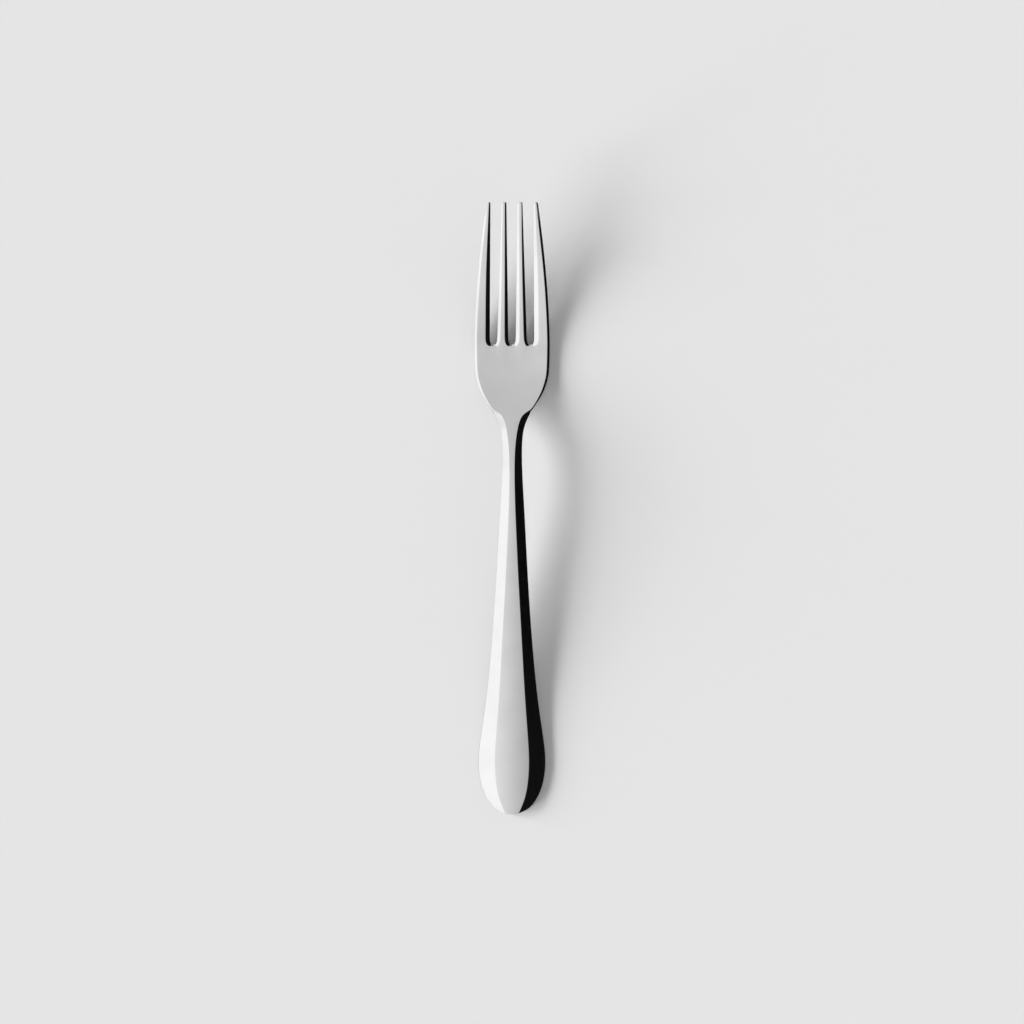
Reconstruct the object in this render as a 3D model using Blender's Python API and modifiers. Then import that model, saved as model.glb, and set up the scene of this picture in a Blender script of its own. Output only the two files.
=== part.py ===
"""Four-tine dessert fork, forged and polished from one piece of stainless steel.

The fork lies as it does on a table, in metres: +Y runs from the handle's end to the
tips, +Z is up, and the origin is on the table under the middle of its length.
"""
import math

import bmesh
import bpy

MM = 0.001

# Lengths along the fork, one after the other from the handle's end to the tips
END_LENGTH = 16.5 * MM
GRIP_LENGTH = 18.0 * MM
HANDLE_LENGTH = 24.0 * MM
SHANK_LENGTH = 29.5 * MM
NECK_LENGTH = 22.0 * MM
THROAT_LENGTH = 5.0 * MM
COLLAR_LENGTH = 5.4 * MM
SHOULDER_LENGTH = 1.2 * MM
CHEEK_LENGTH = 6.4 * MM
SOLE_LENGTH = 5.5 * MM
BOWL_LENGTH = 7.5 * MM
TINE_LENGTH = 43.0 * MM

# Widths from edge to edge, where each of those lengths ends
END_WIDTH = 20.3 * MM
GRIP_WIDTH = 15.5 * MM
HANDLE_WIDTH = 11.2 * MM
SHANK_WIDTH = 7.9 * MM
NECK_WIDTH = 5.9 * MM
THROAT_WIDTH = 6.6 * MM
COLLAR_WIDTH = 10.6 * MM
SHOULDER_WIDTH = 12.15 * MM
CHEEK_WIDTH = 19.8 * MM
SOLE_WIDTH = 22.35 * MM
END_FULLNESS = 2.1

# Bevels beside the flat top, from its ridge out to the edge
END_BEVEL = 4.95 * MM
GRIP_BEVEL = 3.75 * MM
HANDLE_BEVEL = 2.95 * MM
SHANK_BEVEL = 2.8 * MM
NECK_BEVEL = 2.1 * MM
THROAT_BEVEL = 1.8 * MM
COLLAR_BEVEL = 2.1 * MM
SHOULDER_BEVEL = 0.4 * MM
HEAD_BEVEL = 0.65 * MM
END_FLAT_WIDTH = 4.0 * MM

# Tines and the slots between them
SLOT_ROOT_WIDTH = 2.15 * MM
SLOT_TIP_WIDTH = 3.3 * MM
INNER_TINE_ROOT_WIDTH = 3.45 * MM
INNER_TINE_TIP_WIDTH = 1.5 * MM
OUTER_TINE_ROOT_WIDTH = 4.7 * MM
OUTER_TINE_TIP_WIDTH = 1.3 * MM
MIDDLE_TINE_BEVEL = 1.1 * MM
INNER_TINE_BEVEL = 0.9 * MM
OUTER_TINE_BEVEL = 1.3 * MM
TIP_ROUND = 0.9 * MM
TINE_CURVE = 1.7

# The slots' round ends and the rims round them
SLOT_END_FRONT = 0.25 * MM
SLOT_END_BEVEL = 0.5 * MM
SLOT_RIM_FRONT = 0.9 * MM
SLOT_RIM_ROUND = 0.45 * MM

# The underside's height over the table, and the steel's thickness over the underside
REST_LENGTH = 4.5 * MM
ARCH_LENGTH = 13.0 * MM
HANDLE_CLEARANCE = 4.6 * MM
ARCH_CLEARANCE = 10.0 * MM
THROAT_CLEARANCE = 6.9 * MM
SHOULDER_CLEARANCE = 3.2 * MM
TIP_CLEARANCE = 20.4 * MM
TIP_ANGLE = math.radians(33)
END_THICKNESS = 3.0 * MM
GRIP_THICKNESS = 3.5 * MM
NECK_THICKNESS = 4.1 * MM
SHOULDER_THICKNESS = 2.9 * MM
HEAD_THICKNESS = 2.2 * MM
TIP_THICKNESS = 1.3 * MM

# How far the top's edges lie below the top, and the underside's edges above the underside
END_EDGE_DROP = 0.15 * MM
HANDLE_EDGE_DROP = 1.8 * MM
NECK_EDGE_DROP = 1.35 * MM
THROAT_EDGE_DROP = 1.0 * MM
COLLAR_EDGE_DROP = 1.6 * MM
SHOULDER_EDGE_DROP = 0.3 * MM
HEAD_EDGE_DROP = 0.39 * MM
TINE_EDGE_DROP = 0.62 * MM
TINE_TIP_DROP = 0.12 * MM
RIM_TIP_DROP = 0.24 * MM
END_DROP_CURVE = 1.5
HANDLE_EDGE_LIFT = 0.5 * MM
NECK_EDGE_LIFT = 1.0 * MM
HEAD_EDGE_LIFT = 0.5 * MM
TINE_EDGE_LIFT = 0.35 * MM
UNDERSIDE_BEVEL = 1.3 * MM

# The largest share of a width or thickness that one bevel takes
MOST_BEVEL = 1 / 3

# The top's slight crown across the handle and slight hollow across the bowl
CROWN_RADIUS = 55.0 * MM
BOWL_HOLLOW = 0.14 * MM

# Polished 18/10 stainless steel
STEEL_COLOUR = (0.62, 0.62, 0.61, 1.0)
STEEL_ROUGHNESS = 0.1
STEEL_METALLIC = 1.0

# The cage that is rounded into the fork: where it has points, and how crisp its ridges stay
END_CORNER = math.radians(28)
END_ROWS = tuple(math.radians(angle) for angle in (38, 48, 58, 68, 79))
TINE_ROWS = (0.07, 0.2, 0.36, 0.52, 0.68, 0.84, 1.0)
RIDGE_CREASE = 0.6
EDGE_CREASE = 0.7
UNDERSIDE_CREASE = 0.35
ROUNDING_LEVELS = 1
MERGE_DISTANCE = 0.01 * MM

# Columns of the half cage, counted from the fork's middle plane out to its edge
MIDDLE, INNER_EDGE, INNER_RIDGE, INNER_RIDGE_OUT, INNER_EDGE_OUT = range(5)
SLOT_MIDDLE, OUTER_EDGE, OUTER_RIDGE, RIDGE, EDGE = range(5, 10)
SLOT_MIDDLES = (MIDDLE, SLOT_MIDDLE)
TINE_EDGES = (INNER_EDGE, INNER_EDGE_OUT, OUTER_EDGE)
TINE_RIDGES = (INNER_RIDGE, INNER_RIDGE_OUT, OUTER_RIDGE)
SLOT_COLUMNS = SLOT_MIDDLES + TINE_EDGES

# Stations along the fork, as distances from the handle's end
END = END_LENGTH
GRIP = END + GRIP_LENGTH
HANDLE = GRIP + HANDLE_LENGTH
SHANK = HANDLE + SHANK_LENGTH
NECK = SHANK + NECK_LENGTH
THROAT = NECK + THROAT_LENGTH
COLLAR = THROAT + COLLAR_LENGTH
SHOULDER = COLLAR + SHOULDER_LENGTH
CHEEK = SHOULDER + CHEEK_LENGTH
SOLE = CHEEK + SOLE_LENGTH
ROOT = SOLE + BOWL_LENGTH
TIP = ROOT + TINE_LENGTH
REST = END + REST_LENGTH
ARCH = SHANK + ARCH_LENGTH
SLOT_RIM = ROOT - SLOT_END_BEVEL

# Half widths of the head at the tines' roots and at their tips
HEAD_HALF = 1.5 * SLOT_ROOT_WIDTH + INNER_TINE_ROOT_WIDTH + OUTER_TINE_ROOT_WIDTH
TIP_HALF = 1.5 * SLOT_TIP_WIDTH + INNER_TINE_TIP_WIDTH + OUTER_TINE_TIP_WIDTH


def smooth_curve(*points, end_slope=0.0):
    """A function through (place, value) points that never swings past their values."""
    places, values = zip(*points)
    spans = [after - before for before, after in zip(places, places[1:])]
    rises = [(after - before) / span for before, after, span in zip(values, values[1:], spans)]
    slopes = [0.0]
    for before, after in zip(rises, rises[1:]):
        slopes.append(2 * before * after / (before + after) if before * after > 0 else 0.0)
    slopes.append(end_slope)

    def value(place):
        index = 0
        while index < len(spans) - 1 and place > places[index + 1]:
            index += 1
        share = min(max((place - places[index]) / spans[index], 0.0), 1.0)
        rise = rises[index] * share * share * (3 - 2 * share)
        leave = slopes[index] * share * (1 - share) ** 2
        arrive = slopes[index + 1] * share * share * (share - 1)
        return values[index] + spans[index] * (rise + leave + arrive)

    return value


outline = smooth_curve(
    (END, END_WIDTH / 2), (GRIP, GRIP_WIDTH / 2), (HANDLE, HANDLE_WIDTH / 2), (SHANK, SHANK_WIDTH / 2),
    (NECK, NECK_WIDTH / 2), (THROAT, THROAT_WIDTH / 2), (COLLAR, COLLAR_WIDTH / 2),
    (SHOULDER, SHOULDER_WIDTH / 2), (CHEEK, CHEEK_WIDTH / 2), (SOLE, SOLE_WIDTH / 2), (ROOT, HEAD_HALF))
bevel_width = smooth_curve(
    (END, END_BEVEL), (GRIP, GRIP_BEVEL), (HANDLE, HANDLE_BEVEL), (SHANK, SHANK_BEVEL), (NECK, NECK_BEVEL),
    (THROAT, THROAT_BEVEL), (COLLAR, COLLAR_BEVEL), (SHOULDER, SHOULDER_BEVEL), (CHEEK, HEAD_BEVEL))
underside_bevel = smooth_curve((NECK, UNDERSIDE_BEVEL), (CHEEK, HEAD_BEVEL))
underside_height = smooth_curve(
    (END, 0.0), (REST, 0.0), (HANDLE, HANDLE_CLEARANCE), (ARCH, ARCH_CLEARANCE), (THROAT, THROAT_CLEARANCE),
    (SHOULDER, SHOULDER_CLEARANCE), (SOLE, 0.0), (TIP, TIP_CLEARANCE), end_slope=math.tan(TIP_ANGLE))
thickness = smooth_curve(
    (0.0, END_THICKNESS), (END, GRIP_THICKNESS), (NECK, NECK_THICKNESS), (SHOULDER, SHOULDER_THICKNESS),
    (ROOT, HEAD_THICKNESS), (TIP, TIP_THICKNESS))
edge_drop = smooth_curve(
    (END, HANDLE_EDGE_DROP), (SHANK, HANDLE_EDGE_DROP), (NECK, NECK_EDGE_DROP), (THROAT, THROAT_EDGE_DROP),
    (COLLAR, COLLAR_EDGE_DROP), (SHOULDER, SHOULDER_EDGE_DROP), (CHEEK, HEAD_EDGE_DROP),
    (ROOT, HEAD_EDGE_DROP), (TIP, RIM_TIP_DROP))
tine_edge_drop = smooth_curve((ROOT, TINE_EDGE_DROP), (TIP, TINE_TIP_DROP))
edge_lift = smooth_curve((END, HANDLE_EDGE_LIFT), (NECK, NECK_EDGE_LIFT), (CHEEK, HEAD_EDGE_LIFT))
hollow = smooth_curve((THROAT, 0.0), (CHEEK, BOWL_HOLLOW), (ROOT, BOWL_HOLLOW), (TIP, 0.0))
head_share = smooth_curve((NECK, 0.0), (ROOT, 1.0))
crown_share = smooth_curve((NECK, 1.0), (SHOULDER, 0.0))


def end_arc(share):
    """The handle's rounded end, a little fuller than an ellipse: one half axis as the other's share grows."""
    return (1 - share ** END_FULLNESS) ** (1 / END_FULLNESS)


def half_width(place):
    """Half the fork's width: the handle's rounded end, then the outline, then the tines."""
    if place < END:
        return END_WIDTH / 2 * end_arc(1 - place / END_LENGTH)
    if place > ROOT:
        share = (place - ROOT) / TINE_LENGTH
        return HEAD_HALF - (HEAD_HALF - TIP_HALF) * share ** TINE_CURVE
    return outline(place)


def flat_half_width(place):
    """Half the width of the top between its ridges, an even share of the handle's rounded end."""
    if place < END:
        return half_width(place) * (1 - 2 * END_BEVEL / END_WIDTH)
    return half_width(place) - bevel_width(place)


def underside_half_width(place):
    """Half the width of the underside between its rounded edges."""
    return half_width(place) - min(underside_bevel(place), half_width(place) * MOST_BEVEL)


def tine_columns(place):
    """Distances from the middle plane of the columns on the two tines of one half."""
    share = (place - ROOT) / TINE_LENGTH
    slot = SLOT_ROOT_WIDTH + (SLOT_TIP_WIDTH - SLOT_ROOT_WIDTH) * share
    inner_tine = INNER_TINE_ROOT_WIDTH + (INNER_TINE_TIP_WIDTH - INNER_TINE_ROOT_WIDTH) * share
    inner_start = slot / 2
    inner_end = inner_start + inner_tine
    outer_start = inner_end + slot
    outer_end = half_width(place)
    middle_bevel = min(MIDDLE_TINE_BEVEL, inner_tine * MOST_BEVEL)
    inner_bevel = min(INNER_TINE_BEVEL, inner_tine * MOST_BEVEL)
    most_bevel = (outer_end - outer_start) * MOST_BEVEL
    outer_bevel = min(OUTER_TINE_BEVEL, most_bevel)
    rim_bevel = min(HEAD_BEVEL, most_bevel)
    inner = [inner_start, inner_start + middle_bevel, inner_end - inner_bevel, inner_end]
    outer = [outer_start, outer_start + outer_bevel, outer_end - rim_bevel, outer_end]
    return [0.0] + inner + [(inner_end + outer_start) / 2] + outer


def column_share(place, column):
    """A column's share of the way to the ridge: even along the handle, fanned out to the tines on the bowl."""
    roots = tine_columns(ROOT)
    even = column / RIDGE
    return even + (roots[column] / roots[RIDGE] - even) * head_share(place)


def row_places():
    """Distances from the handle's end at which the cage has a row of points."""
    runs = ((END, REST, 1), (REST, HANDLE, 3), (HANDLE, SHANK, 3), (SHANK, NECK, 3), (NECK, THROAT, 1),
            (THROAT, COLLAR, 2), (COLLAR, SHOULDER, 1), (SHOULDER, CHEEK, 3), (CHEEK, SOLE, 3), (SOLE, SLOT_RIM, 2))
    places = [0.0] + [END_LENGTH * (1 - math.cos(angle)) for angle in END_ROWS]
    for start, end, rows in runs:
        places += [start + (end - start) * row / rows for row in range(rows)]
    places += [SLOT_RIM, ROOT]
    places += [ROOT + (TINE_LENGTH - TIP_ROUND) * share for share in TINE_ROWS]
    return places + [TIP]


def plan_point(place, column, flat_half):
    """Where a column crosses a row, seen from above: how far from the middle plane, and how far along."""
    if place == 0.0:
        across = END_FLAT_WIDTH / 2 * column / RIDGE
        if column == EDGE:
            across = END_WIDTH / 2 * math.sin(END_CORNER)
        return across, END_LENGTH * (1 - end_arc(2 * across / END_WIDTH))
    if place < ROOT:
        across = half_width(place) if column == EDGE else flat_half * column_share(place, column)
        if place == SLOT_RIM and column in TINE_RIDGES:
            inward = -1 if column == INNER_RIDGE_OUT else 1
            return across - inward * SLOT_RIM_ROUND, place + SLOT_RIM_ROUND
        return across, place
    along = place
    if place == ROOT and column in TINE_EDGES:
        along += SLOT_END_FRONT
    if place == ROOT and column in TINE_RIDGES:
        along += SLOT_RIM_FRONT
    return tine_columns(place)[column], along


def on_slot(place, column):
    """Whether a point of the cage lies on the wall of a slot between two tines."""
    return place >= ROOT and column in SLOT_COLUMNS


def top_point(place, column):
    """A point of the cage's top."""
    across, along = plan_point(place, column, flat_half_width(place))
    height = underside_height(along) + thickness(along) + hollow(along) * (across / HEAD_HALF) ** 2
    if column == EDGE:
        end_share = min(2 * across / END_WIDTH, 1.0) if place < END else 1.0
        height -= edge_drop(along) * end_share ** END_DROP_CURVE
    else:
        height -= crown_share(along) * across ** 2 / (2 * CROWN_RADIUS)
        if place == 0.0:
            height -= END_EDGE_DROP
    if on_slot(place, column):
        height -= min(tine_edge_drop(along), thickness(along) * MOST_BEVEL)
    return across, along, height


def underside_point(place, column):
    """The point of the cage's underside that goes with a point of its top."""
    across, along = plan_point(place, column, underside_half_width(place))
    height = underside_height(along) + hollow(along) * (across / HEAD_HALF) ** 2
    if column == EDGE:
        height += min(edge_lift(along), thickness(along) * MOST_BEVEL)
    elif place == 0.0:
        height += HANDLE_EDGE_LIFT
    if on_slot(place, column):
        height += min(TINE_EDGE_LIFT, thickness(along) * MOST_BEVEL)
    return across, along, height


def half_cage():
    """Half of the fork's cage, open at the middle plane."""
    places = row_places()
    cage = bmesh.new()
    bmesh.ops.create_grid(cage, x_segments=EDGE, y_segments=len(places) - 1, size=1)
    row_of = cage.verts.layers.int.new("row")
    column_of = cage.verts.layers.int.new("column")
    for vert in cage.verts:
        vert[row_of] = round((vert.co.y + 1) / 2 * (len(places) - 1))
        vert[column_of] = round((vert.co.x + 1) / 2 * EDGE)

    def in_slot(face):
        past_root = all(places[vert[row_of]] >= ROOT for vert in face.verts)
        return past_root and any(vert[column_of] in SLOT_MIDDLES for vert in face.verts)

    bmesh.ops.delete(cage, geom=[face for face in cage.faces if in_slot(face)], context="FACES")
    top = set(cage.verts)
    bmesh.ops.extrude_face_region(cage, geom=cage.faces[:], use_keep_orig=True)
    crease = cage.edges.layers.float.new("crease_edge")
    slot_rim = places.index(SLOT_RIM)
    for edge in cage.edges:
        columns = {vert[column_of] for vert in edge.verts}
        rows = {vert[row_of] for vert in edge.verts}
        on_top = len(top.intersection(edge.verts))
        beside_slot = all(on_slot(places[vert[row_of]], vert[column_of]) for vert in edge.verts)
        tine_ridge = len(columns) == 1 and columns.issubset(TINE_RIDGES) and min(rows) >= slot_rim
        rim_behind_slot = rows == {slot_rim} and columns.intersection(SLOT_COLUMNS)
        if columns == {EDGE} or rows == {0} or beside_slot:
            edge[crease] = (UNDERSIDE_CREASE, 0.0, EDGE_CREASE)[on_top]
        elif on_top == 2 and (columns == {RIDGE} or tine_ridge or rim_behind_slot):
            edge[crease] = RIDGE_CREASE
    for vert in cage.verts:
        point = top_point if vert in top else underside_point
        across, along, height = point(places[vert[row_of]], vert[column_of])
        vert.co = (across, along - TIP / 2, height)
    middle = [face for face in cage.faces if all(vert[column_of] == MIDDLE for vert in face.verts)]
    bmesh.ops.delete(cage, geom=middle, context="FACES")
    bmesh.ops.recalc_face_normals(cage, faces=cage.faces)
    return cage


def steel():
    """Bright polished stainless steel."""
    material = bpy.data.materials.new("polished_stainless_steel")
    material.use_nodes = True
    shader = material.node_tree.nodes["Principled BSDF"]
    shader.inputs["Base Color"].default_value = STEEL_COLOUR
    shader.inputs["Roughness"].default_value = STEEL_ROUGHNESS
    shader.inputs["Metallic"].default_value = STEEL_METALLIC
    return material


def fork(collection):
    """The fork: the half cage, mirrored and rounded."""
    mesh = bpy.data.meshes.new("fork")
    cage = half_cage()
    cage.to_mesh(mesh)
    cage.free()
    mesh.materials.append(steel())
    mesh.shade_smooth()
    piece = bpy.data.objects.new("fork", mesh)
    collection.objects.link(piece)
    mirror = piece.modifiers.new("other half", "MIRROR")
    mirror.merge_threshold = MERGE_DISTANCE
    rounding = piece.modifiers.new("rounding", "SUBSURF")
    rounding.levels = ROUNDING_LEVELS
    rounding.render_levels = ROUNDING_LEVELS


def main():
    for leftover in list(bpy.data.objects):
        bpy.data.objects.remove(leftover, do_unlink=True)
    collection = bpy.data.collections.new("dessert fork")
    bpy.context.scene.collection.children.link(collection)
    fork(collection)


main()
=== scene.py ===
"""A polished dessert fork on a pale studio floor, laid out as an add-on around its CAD frame.

Everything is in metres, in the frame's own axes: +Y runs from the handle's end to the tips,
+Z is up, and the origin is on the floor under the middle of the fork's length.
"""
import math

import bmesh
import bpy
from bpy.props import FloatProperty, PointerProperty, StringProperty
from mathutils import Matrix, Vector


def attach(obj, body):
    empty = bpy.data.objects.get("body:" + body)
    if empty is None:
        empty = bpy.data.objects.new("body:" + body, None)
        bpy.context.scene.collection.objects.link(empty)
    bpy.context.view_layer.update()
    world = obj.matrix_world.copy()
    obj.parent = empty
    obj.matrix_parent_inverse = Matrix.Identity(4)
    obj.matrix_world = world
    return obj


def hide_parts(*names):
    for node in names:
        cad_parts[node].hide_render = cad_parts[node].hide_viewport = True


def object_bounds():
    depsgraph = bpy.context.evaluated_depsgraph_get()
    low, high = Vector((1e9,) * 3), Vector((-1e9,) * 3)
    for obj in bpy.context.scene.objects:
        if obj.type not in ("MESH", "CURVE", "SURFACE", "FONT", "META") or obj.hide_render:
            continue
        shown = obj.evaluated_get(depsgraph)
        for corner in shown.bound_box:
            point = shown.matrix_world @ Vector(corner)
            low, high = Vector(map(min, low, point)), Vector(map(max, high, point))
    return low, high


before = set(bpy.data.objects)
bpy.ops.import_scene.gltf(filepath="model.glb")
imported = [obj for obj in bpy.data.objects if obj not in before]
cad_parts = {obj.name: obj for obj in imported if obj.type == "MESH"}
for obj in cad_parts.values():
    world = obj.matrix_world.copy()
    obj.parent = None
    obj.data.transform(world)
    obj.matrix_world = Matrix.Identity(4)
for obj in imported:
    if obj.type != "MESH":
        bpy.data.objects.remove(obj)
CAD_LOW, CAD_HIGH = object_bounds()

bl_info = {
    "name": "Dessert Fork",
    "version": (1, 0, 0),
    "blender": (4, 5, 0),
    "location": "3D View > Sidebar > Dessert Fork",
    "description": "Builds a polished four-tine dessert fork and the studio that it lies in",
    "category": "Add Mesh",
}

MM = 0.001

# The frame's box gives the fork's overall size, and the other sizes share it out
FORK_LENGTH = (CAD_HIGH.y - CAD_LOW.y) / MM
FORK_WIDTH = (CAD_HIGH.x - CAD_LOW.x) / MM

# Columns of the half cage, counted from the fork's middle plane out to its edge
MIDDLE, INNER_EDGE, INNER_RIDGE, INNER_RIDGE_OUT, INNER_EDGE_OUT = range(5)
SLOT_MIDDLE, OUTER_EDGE, OUTER_RIDGE, RIDGE, EDGE = range(5, 10)
SLOT_MIDDLES = (MIDDLE, SLOT_MIDDLE)
TINE_EDGES = (INNER_EDGE, INNER_EDGE_OUT, OUTER_EDGE)
TINE_RIDGES = (INNER_RIDGE, INNER_RIDGE_OUT, OUTER_RIDGE)
SLOT_COLUMNS = SLOT_MIDDLES + TINE_EDGES

# Slots in one half of the head: the one between its two tines, and half the middle one
SLOTS_IN_HALF = 1.5

# The cage's corner on the handle's round end, how far it stands out past the arc, and the rows that follow
END_CORNER = math.radians(28)
END_CORNER_REACH = 1.06
END_ROWS = tuple(math.radians(angle) for angle in (38, 48, 58, 68, 79))

# Shares of a tine's length at which the cage has rows
TINE_ROWS = (0.07, 0.2, 0.36, 0.52, 0.68, 0.84, 1.0)

# How late the outer bevels of the inner tines narrow towards the tips
INNER_BEVEL_CURVE = 2

# How crisp the ridges and edges of the cage stay, and how finely it is rounded
RIDGE_CREASE = 0.6
EDGE_CREASE = 0.7
UNDERSIDE_CREASE = 0.35
ROUNDING_LEVELS = 3
MERGE_DISTANCE = 0.01 * MM

# The largest share of a width or thickness that one bevel takes
MOST_BEVEL = 1 / 3

# Levels of the marks on the steel between which its colour changes, and of lines and marks for its polish
WORN_LEVELS = (0.4, 0.7)
DULL_LEVELS = (0.15, 0.4)
LINE_DETAIL = 3.0
MARK_DETAIL = 4.0

# Rows of lamps in the softbox on the left: each row's angle over the floor and its share of the light there
LAMP_ROWS = ((29, 0.36), (19.5, 0.145), (10.5, 0.12))
# How far the lamps of each row are turned towards the handle or the tips, in degrees
LAMP_TURNS = (-14, 8, 30)

# What the steel mirrors over the fork, past its handle and past its tips: angles from overhead, with levels
OVERHEAD_LEVELS = ((-80, 1.22), (-73, 1.24), (-69, 1.46), (-28, 1.49), (-10, 1.17), (0, 0.91), (10, 0.64),
                   (20, 0.008), (60, 0.002))
HANDLE_LEVELS = ((-78, 1.25), (-66, 1.53), (-44, 1.53), (-22, 1.3), (-12, 1.22), (0, 1.05), (12, 0.72),
                 (24, 0.006))
TIP_LEVELS = ((-82, 1.22), (-77, 1.27), (-70, 1.45), (-30, 1.45), (-8, 0.88), (0, 0.83), (8, 0.76),
              (20, 0.004))

# How far along the fork a mirrored direction leans where each part of the room starts and where it is full
PAST_HANDLE = (-0.4, -0.7)
PAST_TIPS = (-0.1, 0.7)
PAST_SWEEP = (-0.62, -0.72)
PAST_END = (-0.9, -0.99)
# Angles from overhead between which the paper sweeps up low on the right
SWEEP_ANGLES = (math.radians(66), math.radians(86))


def length(name, description, millimetres):
    """A length that a user may change, given here in millimetres."""
    return FloatProperty(name=name, description=description, default=millimetres * MM, min=0.0,
                         precision=4, subtype="DISTANCE", unit="LENGTH")


def colour(name, description, code):
    """A colour that a user may change, as an sRGB hex value."""
    return StringProperty(name=name, description=description, default=code, maxlen=7)


def linear(code):
    """The linear colour of an sRGB hex value such as #C8C8C4."""
    shares = [int(code[start:start + 2], 16) / 255 for start in (1, 3, 5)]
    shade = [share / 12.92 if share <= 0.04045 else ((share + 0.055) / 1.055) ** 2.4 for share in shares]
    return shade + [1.0]


class DESSERTFORK_PG_sizes(bpy.types.PropertyGroup):
    """Sizes of the fork, in the order in which they come along it from the handle's end."""

    end_length: length("End length", "Round end of the handle", 16.2)
    grip_length: length("Grip length", "From the round end to where the handle narrows", 18.3)
    handle_length: length("Handle length", "Where the handle narrows", 24.0)
    shank_length: length("Shank length", "Slim stretch before the neck", 29.5)
    neck_length: length("Neck length", "To the slimmest place", 22.0)
    throat_length: length("Throat length", "From the slimmest place to where it flares", 5.0)
    collar_length: length("Collar length", "From the flare to where the neck's bevels end", 5.4)
    shoulder_length: length("Shoulder length", "Where the bevels give way to the bowl's rim", 1.2)
    cheek_length: length("Cheek length", "Where the shoulder rounds into the bowl's side", 6.4)
    sole_length: length("Sole length", "From the cheek to the bowl's lowest place", 5.5)
    bowl_length: length("Bowl length", "From the bowl's lowest place to the tines' roots", 7.85)
    fork_length: length("Fork length", "From the handle's end to the tips", FORK_LENGTH)

    end_width: length("End width", "Handle at its widest", 20.4)
    grip_width: length("Grip width", "Handle at the end of the grip", 15.5)
    handle_width: length("Handle width", "Handle halfway to the neck", 11.2)
    shank_width: length("Shank width", "Handle where the shank ends", 7.9)
    neck_width: length("Neck width", "Fork at its slimmest", 5.9)
    throat_width: length("Throat width", "Where the neck starts to flare", 6.6)
    collar_width: length("Collar width", "Where the neck's bevels end", 10.6)
    shoulder_width: length("Shoulder width", "Where the bowl's rim starts", 12.15)
    cheek_width: length("Cheek width", "Where the shoulder rounds into the bowl's side", 19.8)
    sole_width: length("Sole width", "Bowl at its lowest place", 22.35)
    head_width: length("Head width", "Head at the tines' roots", FORK_WIDTH)

    end_bevel: length("End bevel", "Bevel beside the flat top at the handle's widest", 4.98)
    grip_bevel: length("Grip bevel", "Bevel at the end of the grip", 3.75)
    handle_bevel: length("Handle bevel", "Bevel halfway to the neck", 2.95)
    shank_bevel: length("Shank bevel", "Bevel where the shank ends", 2.8)
    neck_bevel: length("Neck bevel", "Bevel at the slimmest place", 2.1)
    throat_bevel: length("Throat bevel", "Bevel where the neck starts to flare", 1.8)
    collar_bevel: length("Collar bevel", "Bevel where it ends on the shoulder", 2.1)
    shoulder_bevel: length("Shoulder bevel", "Rim where it starts on the shoulder", 0.4)
    head_bevel: length("Head bevel", "Rim round the bowl and along the outer tines", 0.72)
    end_flat_width: length("End flat", "Width of the flat top at the handle's end", 4.0)

    slot_root_width: length("Slot at root", "Gap between two tines at their roots", 2.15)
    slot_tip_width: length("Slot at tip", "Gap between two tines at their tips", 3.3)
    slot_end_front: length("Slot end front", "How far before the root a slot starts to round", 0.25)
    slot_end_bevel: length("Slot end bevel", "Rim behind a slot's round end", 0.5)
    slot_rim_front: length("Slot rim front", "How far before the root a slot's rim starts to round", 0.9)
    slot_rim_round: length("Slot rim rounding", "How far the rim's corners are drawn in", 0.45)
    inner_tine_root_width: length("Inner tine at root", "Width of an inner tine at its root", 3.45)
    inner_tine_tip_width: length("Inner tine at tip", "Width of an inner tine at its tip", 1.5)
    outer_tine_tip_width: length("Outer tine at tip", "Width of an outer tine at its tip", 1.3)
    middle_tine_bevel: length("Middle slot bevel", "Bevels along the middle slot", 1.1)
    inner_tine_bevel: length("Inner tine bevel", "Bevels along the inner tines' other sides", 0.9)
    inner_tip_bevel: length("Inner tip bevel", "The same bevels at the tips", 0.3)
    outer_tine_bevel: length("Outer tine bevel", "Bevel along the slot side of the outer tines", 1.3)
    tip_round: length("Tip rounding", "How far the tips are rounded off", 0.9)

    rest_length: length("Rest length", "Stretch after the round end that lies on the table", 4.5)
    arch_length: length("Arch length", "From the shank's end to the top of the arch", 13.0)
    handle_clearance: length("Handle clearance", "Under the handle halfway to the neck", 4.62)
    arch_clearance: length("Arch clearance", "Under the neck, at the top of the arch", 9.95)
    throat_clearance: length("Throat clearance", "Under the throat", 6.75)
    shoulder_clearance: length("Shoulder clearance", "Under the shoulder", 2.85)
    tip_clearance: length("Tip clearance", "Under the tips", 20.4)
    end_thickness: length("End thickness", "Steel at the handle's end", 3.0)
    grip_thickness: length("Grip thickness", "Steel at the grip", 3.5)
    neck_thickness: length("Neck thickness", "Steel at the neck", 4.1)
    shoulder_thickness: length("Shoulder thickness", "Steel at the shoulder", 2.9)
    head_thickness: length("Head thickness", "Steel at the tines' roots", 2.2)
    tip_thickness: length("Tip thickness", "Steel at the tips", 1.3)

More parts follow.
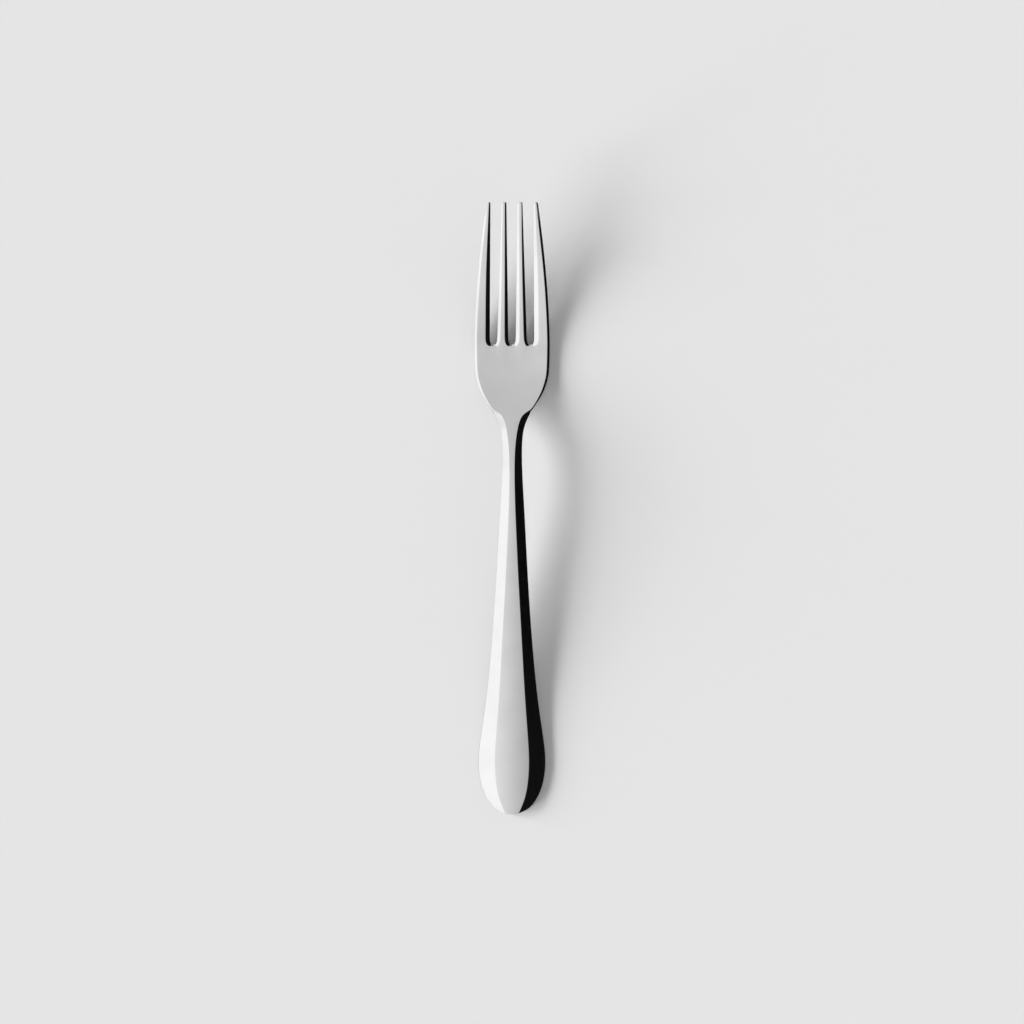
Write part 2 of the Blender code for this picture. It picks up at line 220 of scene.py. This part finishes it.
    end_edge_drop: length("End edge drop", "How far the edge lies below the flat at the very end", 0.15)
    handle_edge_drop: length("Handle edge drop", "How far the handle's edges lie below its flat", 1.8)
    neck_edge_drop: length("Neck edge drop", "How far the neck's edges lie below its flat", 1.35)
    throat_edge_drop: length("Throat edge drop", "How far the throat's edges lie below its flat", 1.0)
    collar_edge_drop: length("Collar edge drop", "How far the edges lie below the flat at the collar", 1.6)
    shoulder_edge_drop: length("Shoulder edge drop", "How far the rim lies below the shoulder", 0.3)
    head_edge_drop: length("Head edge drop", "How far the rim lies below the bowl", 0.43)
    tine_edge_drop: length("Tine edge drop", "How far a tine's edges lie below its top at its root", 0.62)
    tine_tip_drop: length("Tine tip drop", "How far a tine's slot edges lie below its top at its tip", 0.12)
    rim_tip_drop: length("Rim tip drop", "How far the rim lies below the outer tines at their tips", 0.32)
    handle_edge_lift: length("Handle edge lift", "Rounding of the handle's lower edges", 0.5)
    neck_edge_lift: length("Neck edge lift", "Rounding of the neck's lower edges", 1.0)
    head_edge_lift: length("Head edge lift", "Rounding of the head's lower edges", 0.5)
    tine_edge_lift: length("Tine edge lift", "Rounding of the tines' lower edges", 0.35)
    underside_bevel: length("Underside bevel", "Width of the rounding along the lower edges", 1.3)

    crown_radius: length("Crown radius", "Radius of the slight crown across the handle's top", 55.0)
    neck_crown_radius: length("Neck crown radius", "Radius of the crown across the neck's top", 28.0)
    bowl_hollow: length("Bowl hollow", "Depth of the bowl across its width", 0.14)
    end_fullness: FloatProperty(
        name="End fullness", description="Round end: 2 is an ellipse, more is squarer",
        default=2.15, min=1.5, max=4.0)
    end_drop_curve: FloatProperty(
        name="End drop curve", description="How late the edge rises round the handle's end",
        default=1.5, min=1.0, max=3.0)
    tine_curve: FloatProperty(
        name="Tine curve", description="How late the outer tines draw in towards the tips",
        default=1.7, min=1.0, max=4.0)
    tip_angle: FloatProperty(
        name="Tip angle", description="Slope of the tines at their tips",
        default=math.radians(33), subtype="ANGLE", unit="ROTATION")


class DESSERTFORK_PG_finish(bpy.types.PropertyGroup):
    """The polished steel's colours and the marks left by grinding, buffing and use."""

    steel: colour("Steel", "Bright steel", "#CFCFCF")
    worn_steel: colour("Worn steel", "Steel where use has dulled it a little", "#CBCBCB")
    polish: FloatProperty(
        name="Polish", description="Roughness of the buffed steel",
        default=0.07, min=0.0, max=1.0, subtype="FACTOR")
    wear: FloatProperty(
        name="Wear", description="Roughness where it is dulled",
        default=0.09, min=0.0, max=1.0, subtype="FACTOR")
    hairline_spacing: length("Hairline spacing", "Distance between the polishing lines", 0.22)
    hairline_length: length("Hairline length", "Length of the polishing lines", 14.0)
    hairline_depth: length("Hairline depth", "Depth of the polishing lines", 0.0004)
    mark_size: length("Mark size", "Size of the dulled places", 9.0)


class DESSERTFORK_PG_studio(bpy.types.PropertyGroup):
    """The floor, the softbox, the fill and the camera."""

    floor: colour("Floor", "Pale paper that the fork lies on", "#E5E5E5")
    floor_size: length("Floor size", "Side of the floor", 24000.0)
    frame_width: length("Frame width", "Width of the floor that the picture shows", 308.3)
    aim_back: length("Aim", "How far the picture's middle lies behind the fork's middle", 1.0)
    focal_length: FloatProperty(
        name="Focal length", description="A long lens, which keeps the outline true",
        default=600.0, unit="CAMERA")
    lamp_spread: FloatProperty(
        name="Lamp spread", description="Angle that one lamp of the softbox fills",
        default=math.radians(16), subtype="ANGLE", unit="ROTATION")
    lamp_strength: FloatProperty(
        name="Lamp strength", description="Light of the softbox",
        default=1.0, min=0.0)
    fill_strength: FloatProperty(
        name="Fill strength", description="Light from the rest of the room",
        default=0.375, min=0.0)
    fill_lean: FloatProperty(
        name="Fill lean", description="How much more of the fill comes from the right",
        default=0.7, min=0.0, max=1.0, subtype="FACTOR")


def smooth_curve(*points, end_slope=0.0):
    """A function through (place, value) points that never swings past their values."""
    places, values = zip(*points)
    spans = [after - before for before, after in zip(places, places[1:])]
    rises = [(after - before) / span for before, after, span in zip(values, values[1:], spans)]
    # A point's slope is a mean of the rises beside it, and level where they turn
    slopes = [0.0]
    for before, after in zip(rises, rises[1:]):
        slopes.append(2 * before * after / (before + after) if before * after > 0 else 0.0)
    slopes.append(end_slope)

    def value(place):
        index = 0
        while index < len(spans) - 1 and place > places[index + 1]:
            index += 1
        share = min(max((place - places[index]) / spans[index], 0.0), 1.0)
        rise = rises[index] * share * share * (3 - 2 * share)
        leave = slopes[index] * share * (1 - share) ** 2
        arrive = slopes[index + 1] * share * share * (share - 1)
        return values[index] + spans[index] * (rise + leave + arrive)

    return value


class ForkForm:
    """The fork's outline, heights and sections, as functions of the distance from the handle's end."""

    def __init__(self, sizes):
        self.sizes = sizes
        self.end = sizes.end_length
        grip = self.end + sizes.grip_length
        handle = grip + sizes.handle_length
        shank = handle + sizes.shank_length
        neck = shank + sizes.neck_length
        throat = neck + sizes.throat_length
        collar = throat + sizes.collar_length
        shoulder = collar + sizes.shoulder_length
        cheek = shoulder + sizes.cheek_length
        sole = cheek + sizes.sole_length
        self.root = sole + sizes.bowl_length
        self.slot_rim = self.root - sizes.slot_end_bevel
        self.tip = sizes.fork_length
        self.tine_length = self.tip - self.root
        self.head_half = sizes.head_width / 2
        tines_at_tip = sizes.inner_tine_tip_width + sizes.outer_tine_tip_width
        self.tip_half = SLOTS_IN_HALF * sizes.slot_tip_width + tines_at_tip
        rest_end = self.end + sizes.rest_length
        arch = shank + sizes.arch_length
        # Stretches from the round end to the slots, each with the number of rows that the cage has on it
        self.runs = ((self.end, rest_end, 1), (rest_end, handle, 3), (handle, shank, 3), (shank, neck, 3),
                     (neck, throat, 1), (throat, collar, 2), (collar, shoulder, 1), (shoulder, cheek, 3),
                     (cheek, sole, 3), (sole, self.slot_rim, 2))
        self.outline = smooth_curve(
            (self.end, sizes.end_width / 2), (grip, sizes.grip_width / 2), (handle, sizes.handle_width / 2),
            (shank, sizes.shank_width / 2), (neck, sizes.neck_width / 2), (throat, sizes.throat_width / 2),
            (collar, sizes.collar_width / 2), (shoulder, sizes.shoulder_width / 2),
            (cheek, sizes.cheek_width / 2), (sole, sizes.sole_width / 2), (self.root, self.head_half))
        self.bevel = smooth_curve(
            (self.end, sizes.end_bevel), (grip, sizes.grip_bevel), (handle, sizes.handle_bevel),
            (shank, sizes.shank_bevel), (neck, sizes.neck_bevel), (throat, sizes.throat_bevel),
            (collar, sizes.collar_bevel), (shoulder, sizes.shoulder_bevel), (cheek, sizes.head_bevel))
        self.underside_bevel = smooth_curve((neck, sizes.underside_bevel), (cheek, sizes.head_bevel))
        self.underside_height = smooth_curve(
            (self.end, 0.0), (rest_end, 0.0), (handle, sizes.handle_clearance),
            (arch, sizes.arch_clearance), (throat, sizes.throat_clearance),
            (shoulder, sizes.shoulder_clearance), (sole, 0.0),
            (self.tip, sizes.tip_clearance), end_slope=math.tan(sizes.tip_angle))
        self.thickness = smooth_curve(
            (0.0, sizes.end_thickness), (self.end, sizes.grip_thickness), (neck, sizes.neck_thickness),
            (shoulder, sizes.shoulder_thickness), (self.root, sizes.head_thickness),
            (self.tip, sizes.tip_thickness))
        self.edge_drop = smooth_curve(
            (self.end, sizes.handle_edge_drop), (shank, sizes.handle_edge_drop),
            (neck, sizes.neck_edge_drop), (throat, sizes.throat_edge_drop),
            (collar, sizes.collar_edge_drop), (shoulder, sizes.shoulder_edge_drop),
            (cheek, sizes.head_edge_drop), (self.root, sizes.head_edge_drop),
            (self.tip, sizes.rim_tip_drop))
        self.tine_edge_drop = smooth_curve(
            (self.root, sizes.tine_edge_drop), (self.tip, sizes.tine_tip_drop))
        self.edge_lift = smooth_curve(
            (self.end, sizes.handle_edge_lift), (neck, sizes.neck_edge_lift), (cheek, sizes.head_edge_lift))
        self.hollow = smooth_curve(
            (throat, 0.0), (cheek, sizes.bowl_hollow), (self.root, sizes.bowl_hollow), (self.tip, 0.0))
        self.head_share = smooth_curve((neck, 0.0), (self.root, 1.0))
        self.crown = smooth_curve(
            (handle, 1 / sizes.crown_radius), (neck, 1 / sizes.neck_crown_radius), (shoulder, 0.0))

    def end_arc(self, share):
        """The handle's round end: one half axis as the other's share grows."""
        fullness = self.sizes.end_fullness
        return (1 - share ** fullness) ** (1 / fullness)

    def half_width(self, place):
        """Half the fork's width: the handle's round end, then the outline, then the tines."""
        if place < self.end:
            return self.sizes.end_width / 2 * self.end_arc(1 - place / self.end)
        if place > self.root:
            share = (place - self.root) / self.tine_length
            return self.head_half - (self.head_half - self.tip_half) * share ** self.sizes.tine_curve
        return self.outline(place)

    def flat_half_width(self, place):
        """Half the width of the top between its ridges, an even share of the handle's round end."""
        if place < self.end:
            return self.half_width(place) * (1 - 2 * self.sizes.end_bevel / self.sizes.end_width)
        return self.half_width(place) - self.bevel(place)

    def underside_half_width(self, place):
        """Half the width of the underside between its rounded edges."""
        half_width = self.half_width(place)
        return half_width - min(self.underside_bevel(place), half_width * MOST_BEVEL)

    def tine_columns(self, place):
        """Distances from the middle plane of the columns on the two tines of one half."""
        sizes = self.sizes
        share = (place - self.root) / self.tine_length
        slot = sizes.slot_root_width + (sizes.slot_tip_width - sizes.slot_root_width) * share
        narrowing = sizes.inner_tine_tip_width - sizes.inner_tine_root_width
        inner_tine = sizes.inner_tine_root_width + narrowing * share
        inner_start = slot / 2
        inner_end = inner_start + inner_tine
        outer_start = inner_end + slot
        outer_end = self.half_width(place)
        most_bevel = (outer_end - outer_start) * MOST_BEVEL
        middle_bevel = min(sizes.middle_tine_bevel, inner_tine * MOST_BEVEL)
        bevel_change = sizes.inner_tip_bevel - sizes.inner_tine_bevel
        inner_bevel = sizes.inner_tine_bevel + bevel_change * share ** INNER_BEVEL_CURVE
        outer_bevel = min(sizes.outer_tine_bevel, most_bevel)
        rim_bevel = min(sizes.head_bevel, most_bevel)
        inner = [inner_start, inner_start + middle_bevel, inner_end - inner_bevel, inner_end]
        outer = [outer_start, outer_start + outer_bevel, outer_end - rim_bevel, outer_end]
        return [0.0] + inner + [(inner_end + outer_start) / 2] + outer

    def column_share(self, place, column):
        """A column's share of the way to the ridge: even on the handle, fanned out to meet the tines."""
        roots = self.tine_columns(self.root)
        even = column / RIDGE
        return even + (roots[column] / roots[RIDGE] - even) * self.head_share(place)

    def row_places(self):
        """Distances from the handle's end at which the cage has a row of points."""
        places = [0.0] + [self.end * (1 - math.cos(angle)) for angle in END_ROWS]
        for start, end, rows in self.runs:
            places += [start + (end - start) * row / rows for row in range(rows)]
        places += [self.slot_rim, self.root]
        places += [self.root + (self.tine_length - self.sizes.tip_round) * share for share in TINE_ROWS]
        return places + [self.tip]

    def plan_point(self, place, column, flat_half):
        """Where a column crosses a row, seen from above: its distance across the fork and along it."""
        if place == 0.0:
            across = self.sizes.end_flat_width / 2 * column / RIDGE
            if column == EDGE:
                corner = math.sin(END_CORNER)
                across = self.sizes.end_width / 2 * corner * END_CORNER_REACH
                return across, self.end * (1 - self.end_arc(corner))
            return across, self.end * (1 - self.end_arc(2 * across / self.sizes.end_width))
        if place < self.root:
            if column == EDGE:
                return self.half_width(place), place
            across = flat_half * self.column_share(place, column)
            if place == self.slot_rim and column in TINE_RIDGES:
                inward = -1 if column == INNER_RIDGE_OUT else 1
                return across - inward * self.sizes.slot_rim_round, place + self.sizes.slot_rim_round
            return across, place
        along = place
        if place == self.root and column in TINE_EDGES:
            along += self.sizes.slot_end_front
        if place == self.root and column in TINE_RIDGES:
            along += self.sizes.slot_rim_front
        return self.tine_columns(place)[column], along

    def on_slot(self, place, column):
        """Whether a point of the cage lies on the wall of a slot between two tines."""
        return place >= self.root and column in SLOT_COLUMNS

    def top_point(self, place, column):
        """A point of the cage's top."""
        across, along = self.plan_point(place, column, self.flat_half_width(place))
        height = self.underside_height(along) + self.thickness(along)
        height += self.hollow(along) * (across / self.head_half) ** 2
        if column == EDGE:
            end_share = min(2 * across / self.sizes.end_width, 1.0) if place < self.end else 1.0
            height -= self.edge_drop(along) * end_share ** self.sizes.end_drop_curve
        else:
            height -= self.crown(along) * across ** 2 / 2
            if place == 0.0:
                height -= self.sizes.end_edge_drop
        if self.on_slot(place, column):
            height -= min(self.tine_edge_drop(along), self.thickness(along) * MOST_BEVEL)
        return across, along, height

    def underside_point(self, place, column):
        """The point of the cage's underside that goes with a point of its top."""
        across, along = self.plan_point(place, column, self.underside_half_width(place))
        height = self.underside_height(along) + self.hollow(along) * (across / self.head_half) ** 2
        if column == EDGE:
            height += min(self.edge_lift(along), self.thickness(along) * MOST_BEVEL)
        elif place == 0.0:
            height += self.sizes.handle_edge_lift
        if self.on_slot(place, column):
            height += min(self.sizes.tine_edge_lift, self.thickness(along) * MOST_BEVEL)
        return across, along, height


def fork_cage(form):
    """The cage that rounds into the fork: a grid, slotted, thickened, bent to the form and mirrored."""
    places = form.row_places()
    cage = bmesh.new()
    bmesh.ops.create_grid(cage, x_segments=EDGE, y_segments=len(places) - 1, size=1)
    row_of = cage.verts.layers.int.new("row")
    column_of = cage.verts.layers.int.new("column")
    for vert in cage.verts:
        vert[row_of] = round((vert.co.y + 1) / 2 * (len(places) - 1))
        vert[column_of] = round((vert.co.x + 1) / 2 * EDGE)

    def in_slot(face):
        past_root = all(places[vert[row_of]] >= form.root for vert in face.verts)
        return past_root and any(vert[column_of] in SLOT_MIDDLES for vert in face.verts)

    bmesh.ops.delete(cage, geom=[face for face in cage.faces if in_slot(face)], context="FACES")
    top = set(cage.verts)
    bmesh.ops.extrude_face_region(cage, geom=cage.faces[:], use_keep_orig=True)
    crease = cage.edges.layers.float.new("crease_edge")
    slot_rim = places.index(form.slot_rim)
    for edge in cage.edges:
        columns = {vert[column_of] for vert in edge.verts}
        rows = {vert[row_of] for vert in edge.verts}
        on_top = len(top.intersection(edge.verts))
        beside_slot = all(form.on_slot(places[vert[row_of]], vert[column_of]) for vert in edge.verts)
        tine_ridge = len(columns) == 1 and columns.issubset(TINE_RIDGES) and min(rows) >= slot_rim
        rim_behind_slot = rows == {slot_rim} and columns.intersection(SLOT_COLUMNS)
        if columns == {EDGE} or rows == {0} or beside_slot:
            # An edge along the underside, one up the side wall, or one along the top
            edge[crease] = (UNDERSIDE_CREASE, 0.0, EDGE_CREASE)[on_top]
        elif on_top == 2 and (columns == {RIDGE} or tine_ridge or rim_behind_slot):
            edge[crease] = RIDGE_CREASE
        edge.smooth = edge[crease] < RIDGE_CREASE
    for vert in cage.verts:
        point = form.top_point if vert in top else form.underside_point
        across, along, height = point(places[vert[row_of]], vert[column_of])
        vert.co = (across, along - form.tip / 2, height)
    middle = [face for face in cage.faces if all(vert[column_of] == MIDDLE for vert in face.verts)]
    bmesh.ops.delete(cage, geom=middle, context="FACES")
    half = cage.verts[:] + cage.edges[:] + cage.faces[:]
    bmesh.ops.mirror(cage, geom=half, matrix=Matrix.Identity(4), merge_dist=MERGE_DISTANCE, axis="X")
    bmesh.ops.recalc_face_normals(cage, faces=cage.faces)
    return cage


def add_node(tree, kind, links=None, **settings):
    """Adds a node with its settings. Links fill its sockets, from another socket or with a plain value."""
    node = tree.nodes.new(kind)
    for name, value in settings.items():
        setattr(node, name, value)
    for socket, source in (links or {}).items():
        if isinstance(source, bpy.types.NodeSocket):
            tree.links.new(source, node.inputs[socket])
        else:
            node.inputs[socket].default_value = source
    return node


def set_stops(ramp, stops):
    """Gives a colour ramp its stops, as (place, colour)."""
    elements = ramp.color_ramp.elements
    while len(elements) < len(stops):
        elements.new(1.0)
    for element, (place, shade) in zip(elements, stops):
        element.position = place
        element.color = shade


def polished_stainless_steel(finish):
    """18/10 stainless steel, ground along its length and buffed.

    It mirrors the room almost sharply, with faint lines along the fork where the buffing wheel
    ran and soft duller places where it has been wiped and used.
    """
    material = bpy.data.materials.new("stainless_steel_buffed")
    material.use_nodes = True
    tree = material.node_tree
    shader = tree.nodes["Principled BSDF"]
    shader.inputs["Metallic"].default_value = 1.0
    place = add_node(tree, "ShaderNodeTexCoord").outputs["Object"]
    # Real buffing lines are some hundredths of a millimetre apart, and are drawn coarser to show
    across = 1 / finish.hairline_spacing
    along = 1 / finish.hairline_length
    lines_place = add_node(tree, "ShaderNodeMapping", {"Vector": place, "Scale": (across, along, across)})
    lines = add_node(tree, "ShaderNodeTexNoise", {
        "Vector": lines_place.outputs[0], "Scale": 1.0, "Detail": LINE_DETAIL})
    marks = add_node(tree, "ShaderNodeTexNoise", {
        "Vector": place, "Scale": 1 / finish.mark_size, "Detail": MARK_DETAIL})
    mixed = add_node(tree, "ShaderNodeMath", {0: lines.outputs["Fac"], 1: marks.outputs["Fac"]},
                     operation="MULTIPLY")
    shade = add_node(tree, "ShaderNodeValToRGB", {"Fac": marks.outputs["Fac"]})
    set_stops(shade, (
        (WORN_LEVELS[0], linear(finish.steel)), (WORN_LEVELS[1], linear(finish.worn_steel))))
    dullness = add_node(tree, "ShaderNodeMapRange", {
        "Value": mixed.outputs[0], "From Min": DULL_LEVELS[0], "From Max": DULL_LEVELS[1],
        "To Min": finish.polish, "To Max": finish.wear})
    relief = add_node(tree, "ShaderNodeBump", {
        "Height": lines.outputs["Fac"], "Strength": 1.0, "Distance": finish.hairline_depth})
    tree.links.new(shade.outputs["Color"], shader.inputs["Base Color"])
    tree.links.new(dullness.outputs["Result"], shader.inputs["Roughness"])
    tree.links.new(relief.outputs["Normal"], shader.inputs["Normal"])
    return material


def matt_paper(studio):
    """Seamless background paper, uncoated: an even pale grey with no shine."""
    material = bpy.data.materials.new("paper_uncoated")
    material.use_nodes = True
    shader = material.node_tree.nodes["Principled BSDF"]
    shader.inputs["Base Color"].default_value = linear(studio.floor)
    shader.inputs["Roughness"].default_value = 1.0
    shader.inputs["Specular IOR Level"].default_value = 0.0
    return material


def studio_room(studio):
    """What the steel mirrors, and the fill that lights the floor.

    The steel sees a white wall on the left, a grey ceiling and a dark right side, with pale paper
    past the handle. The fill is white, and more of it comes from the right, across from the softbox.
    """
    world = bpy.data.worlds.new("studio_room")
    world.use_nodes = True
    tree = world.node_tree
    tree.nodes.clear()
    direction = add_node(tree, "ShaderNodeTexCoord").outputs["Generated"]
    parts = add_node(tree, "ShaderNodeSeparateXYZ", {"Vector": direction})
    along = parts.outputs["Y"]
    turn = add_node(tree, "ShaderNodeMath", {0: parts.outputs["X"], 1: parts.outputs["Z"]},
                    operation="ARCTAN2").outputs[0]
    sideways = add_node(tree, "ShaderNodeMapRange", {
        "Value": turn, "From Min": -math.pi / 2, "From Max": math.pi / 2})
    walls = []
    for levels in (OVERHEAD_LEVELS, HANDLE_LEVELS, TIP_LEVELS):
        wall = add_node(tree, "ShaderNodeValToRGB", {"Fac": sideways.outputs["Result"]})
        # Overhead is the ramp's middle, and its ends are level with the floor
        set_stops(wall, [(0.5 + angle / 180, (level, level, level, 1.0)) for angle, level in levels])
        walls.append(wall.outputs["Color"])
    room, past_handle, past_tips = walls
    paper = linear(studio.floor)
    # Low on the right past the handle, the paper sweeps up and shows as pale as the floor
    low_right = add_node(tree, "ShaderNodeMapRange", {
        "Value": turn, "From Min": SWEEP_ANGLES[0], "From Max": SWEEP_ANGLES[1]}).outputs["Result"]
    # Each part of the room lies over those before it. Straight past the handle's end, the white and the
    # dark side meet in the paper's grey
    for (start, full), most, shade in ((PAST_HANDLE, 1.0, past_handle), (PAST_TIPS, 1.0, past_tips),
                                       (PAST_SWEEP, low_right, paper), (PAST_END, 1.0, paper)):
        share = add_node(tree, "ShaderNodeMapRange", {
            "Value": along, "From Min": start, "From Max": full, "To Max": most})
        room = add_node(tree, "ShaderNodeMixRGB", {0: share.outputs[0], 1: room, 2: shade}).outputs[0]
    mirrored = add_node(tree, "ShaderNodeBackground", {"Color": room, "Strength": 1.0})
    fill_level = add_node(tree, "ShaderNodeMapRange", {
        "Value": parts.outputs["X"], "From Min": -1.0,
        "To Min": studio.fill_strength * (1 - studio.fill_lean),
        "To Max": studio.fill_strength * (1 + studio.fill_lean)})
    fill = add_node(tree, "ShaderNodeBackground", {
        "Color": (1.0, 1.0, 1.0, 1.0), "Strength": fill_level.outputs["Result"]})
    backdrop = add_node(tree, "ShaderNodeBackground", {"Color": paper, "Strength": 1.0})
    rays = add_node(tree, "ShaderNodeLightPath")
    seen = add_node(tree, "ShaderNodeMixShader", {
        0: rays.outputs["Is Glossy Ray"], 1: fill.outputs[0], 2: mirrored.outputs[0]})
    seen = add_node(tree, "ShaderNodeMixShader", {
        0: rays.outputs["Is Camera Ray"], 1: seen.outputs[0], 2: backdrop.outputs[0]})
    add_node(tree, "ShaderNodeOutputWorld", {"Surface": seen.outputs[0]})
    return world


class DESSERTFORK_OT_fork(bpy.types.Operator):
    """Makes the fork, forged and polished from one piece of steel"""

    bl_idname = "dessert_fork.make_fork"
    bl_label = "Make Fork"

    def execute(self, context):
        cage = fork_cage(ForkForm(context.scene.fork_sizes))
        mesh = bpy.data.meshes.new("polished_fork")
        cage.to_mesh(mesh)
        cage.free()
        mesh.shade_smooth()
        mesh.materials.append(polished_stainless_steel(context.scene.fork_finish))
        piece = bpy.data.objects.new("polished_fork", mesh)
        context.scene.collection.objects.link(piece)
        rounding = piece.modifiers.new("rounding", "SUBSURF")
        rounding.levels = ROUNDING_LEVELS
        rounding.render_levels = ROUNDING_LEVELS
        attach(piece, "root")
        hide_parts("fork")
        return {"FINISHED"}


class DESSERTFORK_OT_stage(bpy.types.Operator):
    """Makes the floor, the studio's light and the camera over the fork"""

    bl_idname = "dessert_fork.make_stage"
    bl_label = "Make Stage"

    def execute(self, context):
        scene = context.scene
        studio = scene.fork_studio
        sheet = bmesh.new()
        bmesh.ops.create_grid(sheet, x_segments=1, y_segments=1, size=studio.floor_size / 2)
        bmesh.ops.translate(sheet, verts=sheet.verts, vec=(0.0, 0.0, CAD_LOW.z))
        mesh = bpy.data.meshes.new("floor")
        sheet.to_mesh(mesh)
        sheet.free()
        mesh.materials.append(matt_paper(studio))
        floor = bpy.data.objects.new("floor", mesh)
        scene.collection.objects.link(floor)

        for height, share in LAMP_ROWS:
            lamp = bpy.data.lights.new("softbox", "SUN")
            # The lower a lamp stands, the thinner its light is spread on the floor
            spread = math.sin(math.radians(height))
            lamp.energy = studio.lamp_strength * share / len(LAMP_TURNS) * math.pi / spread
            lamp.angle = studio.lamp_spread
            for turn in LAMP_TURNS:
                softbox = bpy.data.objects.new("softbox", lamp)
                lean = math.radians(90 - height)
                softbox.rotation_euler = (0.0, -lean, math.radians(turn))
                softbox.visible_glossy = False
                scene.collection.objects.link(softbox)
        scene.world = studio_room(studio)

        lens = bpy.data.cameras.new("camera")
        lens.lens = studio.focal_length
        camera = bpy.data.objects.new("camera", lens)
        distance = studio.frame_width * lens.lens / lens.sensor_width
        camera.location = (0.0, -studio.aim_back, distance)
        lens.clip_end = 2 * distance
        scene.collection.objects.link(camera)
        scene.camera = camera
        scene.view_settings.view_transform = "Standard"
        return {"FINISHED"}


class DESSERTFORK_PT_panel(bpy.types.Panel):
    """Sizes, finish and studio of the fork, with the buttons that make it"""

    bl_idname = "DESSERTFORK_PT_panel"
    bl_label = "Dessert Fork"
    bl_space_type = "VIEW_3D"
    bl_region_type = "UI"
    bl_category = "Dessert Fork"

    def draw(self, context):
        column = self.layout.column()
        for operator in OPERATORS:
            column.operator(operator.bl_idname)
        for group in (context.scene.fork_sizes, context.scene.fork_finish, context.scene.fork_studio):
            for name in group.__annotations__:
                column.prop(group, name)


OPERATORS = (DESSERTFORK_OT_fork, DESSERTFORK_OT_stage)
CLASSES = (DESSERTFORK_PG_sizes, DESSERTFORK_PG_finish, DESSERTFORK_PG_studio,
           *OPERATORS, DESSERTFORK_PT_panel)


def register():
    for each in CLASSES:
        bpy.utils.register_class(each)
    bpy.types.Scene.fork_sizes = PointerProperty(type=DESSERTFORK_PG_sizes)
    bpy.types.Scene.fork_finish = PointerProperty(type=DESSERTFORK_PG_finish)
    bpy.types.Scene.fork_studio = PointerProperty(type=DESSERTFORK_PG_studio)


def unregister():
    del bpy.types.Scene.fork_studio
    del bpy.types.Scene.fork_finish
    del bpy.types.Scene.fork_sizes
    for each in reversed(CLASSES):
        bpy.utils.unregister_class(each)


def main():
    register()
    bpy.ops.dessert_fork.make_fork()
    bpy.ops.dessert_fork.make_stage()


if __name__ == "__main__":
    main()
